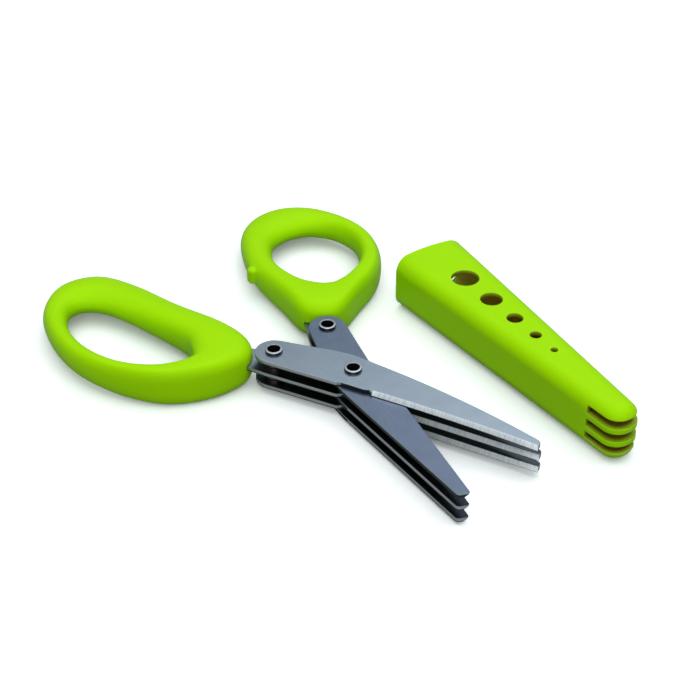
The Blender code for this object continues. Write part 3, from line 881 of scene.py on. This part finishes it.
def coverSection(look):
    # Insets and heights from the flat top, over the rounded edge and the side, to the underside
    radius, height = look["edgeRadius"], look["height"]
    upper, lower = height - radius, radius
    tops = slotTops(look)
    topTurn = math.asin((tops[0] - upper) / radius)
    lowTurn = math.asin((lower - tops[-1] + look["slotHeight"]) / radius)
    turns = ((upper, math.pi / 2, topTurn), (upper, topTurn, 0), (lower, 0, -lowTurn),
             (lower, -lowTurn, -math.pi / 2))
    arcs = []
    for (centre, first, last), steps in zip(turns, look["arcSteps"]):
        angles = [first + (last - first) * i / steps for i in range(steps + 1)]
        arcs.append([(radius - radius * math.cos(angle), centre + radius * math.sin(angle))
                     for angle in angles])
    side = [(0, tops[0] - look["slotHeight"])]
    for top in tops[1:-1]:
        side += [(0, top), (0, top - look["slotHeight"])]
    side.append((0, tops[-1]))
    edge = radius + look["flatRim"]
    return [(edge, height), *arcs[0], *arcs[1][1:], *side, *arcs[2], *arcs[3][1:], (edge, 0)]


def inSlot(look, height):
    return any(top - look["slotHeight"] < height < top for top in slotTops(look))


def coverSkin(look):
    # The outside alone, open at the mouth and the slots
    shape = bmesh.new()
    section = coverSection(look)
    outlines = [coverOutline(look, inset) for inset, height in section]
    heights = [height for inset, height in section]
    count = len(outlines[0])
    for side in (1, -1):
        grid = [[shape.verts.new((outline[i].x, side * outline[i].y, height))
                 for outline, height in zip(outlines, heights)] for i in range(count)]
        for i in range(count - 1):
            for k in range(len(section) - 1):
                if i < look["sideSteps"] or not inSlot(look, (heights[k] + heights[k + 1]) / 2):
                    shape.faces.new((grid[i][k], grid[i][k + 1], grid[i + 1][k + 1], grid[i + 1][k]))
    half = look["mouthWidth"] / 2
    for outline, height in ((outlines[0], look["height"]), (outlines[-1], 0)):
        steps = [outline[0].y * (i / look["mouthSteps"] - 1) for i in range(1, 2 * look["mouthSteps"])]
        mouth = [(-look["mouthBow"] * (1 - (y / half) ** 2), y) for y in steps]
        loop = [(point.x, point.y) for point in outline[:-1]]
        loop += [(outline[-1].x, 0)] + [(x, -y) for x, y in reversed(loop)] + mouth
        shape.faces.new([shape.verts.new((x, y, height)) for x, y in loop])
    bmesh.ops.remove_doubles(shape, verts=shape.verts, dist=weldWithin)
    bmesh.ops.recalc_face_normals(shape, faces=shape.faces)
    return shape


def makeHoleTree():
    # One cylinder on each point, as wide as the point's own value says
    board, inputs = makeTree("holeRow", {"Sides": "Int", "Depth": "Float", "Wall": "Material"})
    drill = board.node("GeometryNodeMeshCylinder", {"fill_type": "NGON"},
                       {"Vertices": inputs["Sides"], "Radius": 0.5, "Depth": inputs["Depth"]})
    width = board.node("GeometryNodeInputNamedAttribute", {"data_type": "FLOAT"}, {"Name": "width"})
    size = board.node("ShaderNodeCombineXYZ", None, {"X": width, "Y": width, "Z": 1.0})
    drills = board.node("GeometryNodeInstanceOnPoints", None,
                        {"Points": inputs["Geometry"], "Instance": drill, "Scale": size})
    whole = board.node("GeometryNodeRealizeInstances", None, {"Geometry": drills})
    made = board.node("GeometryNodeSetMaterial", None, {"Geometry": whole, "Material": inputs["Wall"]})
    board.node("NodeGroupOutput", None, {"Geometry": made})
    return board


def addPlate(shape, depth, rings, low, high):
    # A flat plate of nested rings, whose depth grows from its outer ring to its inner one
    made = []
    for share, ring in enumerate(rings):
        made.append([shape.verts.new((x, y, low)) for x, y in ring])
        for vertex in made[-1]:
            # The depth sets how deep the painted shade of the slot shade is
            vertex[depth] = share / (len(rings) - 1)
    faces = [shape.faces.new(made[-1])]
    for outer, inner in zip(made, made[1:]):
        for i in range(len(outer) - 1):
            faces.append(shape.faces.new((outer[i], outer[i + 1], inner[i + 1], inner[i])))
    lifted = bmesh.ops.extrude_face_region(shape, geom=faces, use_keep_orig=True)["geom"]
    lifted = [item for item in lifted if isinstance(item, bmesh.types.BMVert)]
    bmesh.ops.translate(shape, vec=(0, 0, high - low), verts=lifted)


def makeTipPlates(look, comb):
    # The tip is a comb, solid behind each prong
    shape = bmesh.new()
    depth = shape.verts.layers.float.new("depth")
    tops = slotTops(look)
    floors = [top - look["slotHeight"] for top in tops]
    lows = [floors[-1] - comb["skin"], *tops[:0:-1], tops[0]]
    highs = [floors[-1], *floors[-2::-1], tops[0] + comb["skin"]]
    rings = []
    for inset in comb["insets"]:
        half = [(point.x, point.y) for point in coverOutline(look, inset)[look["sideSteps"]:]]
        rings.append(half + [(x, -y) for x, y in reversed(half[:-1])])
    for low, high in zip(lows, highs):
        addPlate(shape, depth, rings, low - comb["overlap"], high + comb["overlap"])
    bmesh.ops.recalc_face_normals(shape, faces=shape.faces)
    piece = finishShape(shape, "coverComb", [slotShade])
    piece.data.transform(coverPlace(look))
    flattenBroad(piece, comb["flatOver"])
    seat(piece, "cover", "green_plastic", "cover")


def makeDrills(row, look):
    places = [row["first"]]
    step = row["step"]
    for i in range(len(row["widths"]) - 1):
        places.append(places[-1] + step)
        step *= row["stepShare"]
    drills = outlineObject("coverDrills", [(place, 0) for place in places], 0)
    drills.data.attributes.new("width", "FLOAT", "POINT").data.foreach_set("value", row["widths"])
    runTree(drills, makeHoleTree(), Sides=row["sides"], Depth=row["depth"], Wall=slotShade)
    drills.data.transform(Matrix.Translation((0, 0, look["height"])))
    return drills


def shadeWalls(piece, look):
    # Painted shade: faces that lead from the outside to the inside darken with their depth, but not at
    # the mouth
    inside, walls = 1, 2
    depth = piece.data.attributes.new("depth", "FLOAT", "POINT").data
    faces = list(piece.data.polygons)
    for face in faces:
        if face.material_index == inside:
            for corner in face.vertices:
                depth[corner].value = 1
    for face in faces:
        isDeep = any(depth[corner].value for corner in face.vertices)
        if isDeep and face.material_index != inside and face.center.x > look["edgeRadius"]:
            face.material_index = walls


def makeCover(look, row, edges):
    piece = finishShape(coverSkin(look), "coverShell", [greenPlastic, coverInsideShade, slotShade])
    addModifier(piece, "SOLIDIFY", thickness=look["wall"], offset=-1, use_rim=True, material_offset=1)
    drills = makeDrills(row, look)
    addModifier(piece, "BOOLEAN", operation="DIFFERENCE", solver="EXACT", object=drills)
    keepEvaluated(piece)
    bpy.data.objects.remove(drills)
    shadeWalls(piece, look)
    bevelEdges(piece, edges["rounding"], edges["steps"], edges["roundOver"])
    piece.data.transform(coverPlace(look))
    smoothUnder(piece, edges["sharpOver"])
    flattenBroad(piece, edges["flatOver"])
    seat(piece, "cover", "green_plastic", "cover")


coverInsideShade = makeCoverInsideShade(insideShadeLook, coverShape)
makeCover(coverShape, holeRow, coverEdges)
makeTipPlates(coverShape, tipComb)
print("cover made")


# Floor, light and camera

floorLook = {
    "size": 6.0,
    "sink": 0.00005,
    "bounce": 0.24,
    "mirrored": 0.5,
    "seen": 1.15,
    "seenGlow": 0.13,
    "tint": (0.955, 1.0, 1.0),
    "farFrom": 0.4,
    "farAt": 2.0,
    "farGlow": 0.9,
}
lampLooks = {
    "overhead": {"place": (0.12, 0.10, 1.1), "size": 1.7, "power": 12.0},
    "front": {"place": (0.0, -1.2, 0.75), "size": 1.0, "power": 6.2},
}
skyLook = {"low": 0.05, "high": 0.42, "mirroredFrom": 0.45, "seen": 1.0, "colour": (0.94, 0.97, 1.0)}
cameraLook = {"distance": 0.5616, "elevation": 36.0, "focal": 1596.0, "frame": 700.0, "sensor": 36.0,
              "aimFromPivot": (-0.00112, 0.0115, 0.00675), "clipStart": 0.01}


def makeFloor(look):
    # The camera sees a paler floor than the one that throws light back on the object
    material = bpy.data.materials.new("paleFloor")
    material.use_nodes = True
    board = Board(material.node_tree)
    board.tree.nodes.clear()
    camera = board.node("ShaderNodeLightPath", output="Is Camera Ray")
    glossy = board.node("ShaderNodeLightPath", output="Is Glossy Ray")
    level = look["bounce"] + glossy * (look["mirrored"] - look["bounce"])
    level = level + camera * (look["seen"] - look["bounce"])
    shades = [level * share for share in look["tint"]]
    colour = board.node("ShaderNodeCombineColor", None, dict(zip(("Red", "Green", "Blue"), shades)))
    matt = board.node("ShaderNodeBsdfDiffuse", None, {"Color": colour})
    across, along = (board.part(board.place(), axis) for axis in "XY")
    distance = (across * across + along * along) ** 0.5
    far = board.ramp(distance / look["farAt"], ((look["farFrom"] / look["farAt"], 0.0), (1.0, 1.0)))
    glow = board.node("ShaderNodeEmission", None,
                      {"Strength": camera * (far * look["farGlow"] + look["seenGlow"])})
    both = board.node("ShaderNodeAddShader", None, {0: matt, 1: glow})
    board.node("ShaderNodeOutputMaterial", None, {"Surface": both})
    shape = bmesh.new()
    bmesh.ops.create_grid(shape, x_segments=1, y_segments=1, size=look["size"] / 2)
    bmesh.ops.translate(shape, vec=(0, 0, -look["sink"]), verts=shape.verts)
    finishShape(shape, "floor", [material])


def makeLamp(name, look):
    light = bpy.data.lights.new(name, "AREA")
    light.shape = "SQUARE"
    light.size = look["size"]
    light.energy = look["power"]
    lamp = bpy.data.objects.new(name, light)
    lamp.location = look["place"]
    lamp.rotation_euler = (-lamp.location).to_track_quat("-Z", "Y").to_euler()
    bpy.context.scene.collection.objects.link(lamp)


def makeSky(look):
    # A plain studio, brighter overhead than at the horizon, and white where the camera sees it
    world = bpy.data.worlds.new("studio")
    world.use_nodes = True
    board = Board(world.node_tree)
    around = board.node("ShaderNodeTexCoord", output="Generated")
    upward = board.part(around, "Z")
    camera = board.node("ShaderNodeLightPath", output="Is Camera Ray")
    glossy = board.node("ShaderNodeLightPath", output="Is Glossy Ray")
    share = board.maximum(upward, glossy * look["mirroredFrom"])
    level = look["low"] + share * (look["high"] - look["low"])
    background = world.node_tree.nodes["Background"].inputs
    board.plug(background["Color"], (*look["colour"], 1))
    board.plug(background["Strength"], level + camera * (look["seen"] - level))
    bpy.context.scene.world = world


def makeCamera(look):
    target = pivot + Vector(look["aimFromPivot"])
    elevation = math.radians(look["elevation"])
    away = Vector((0, -math.cos(elevation), math.sin(elevation)))
    data = bpy.data.cameras.new("camera")
    data.sensor_width = look["sensor"]
    data.lens = look["focal"] / look["frame"] * look["sensor"]
    data.clip_start = look["clipStart"]
    camera = bpy.data.objects.new("camera", data)
    camera.location = target + away * look["distance"]
    camera.rotation_euler = (math.pi / 2 - elevation, 0, 0)
    bpy.context.scene.collection.objects.link(camera)
    bpy.context.scene.camera = camera


makeFloor(floorLook)
for name, look in lampLooks.items():
    makeLamp(name, look)
makeSky(skyLook)
makeCamera(cameraLook)
bpy.context.scene.view_settings.view_transform = "Standard"
print("floor, light and camera made")
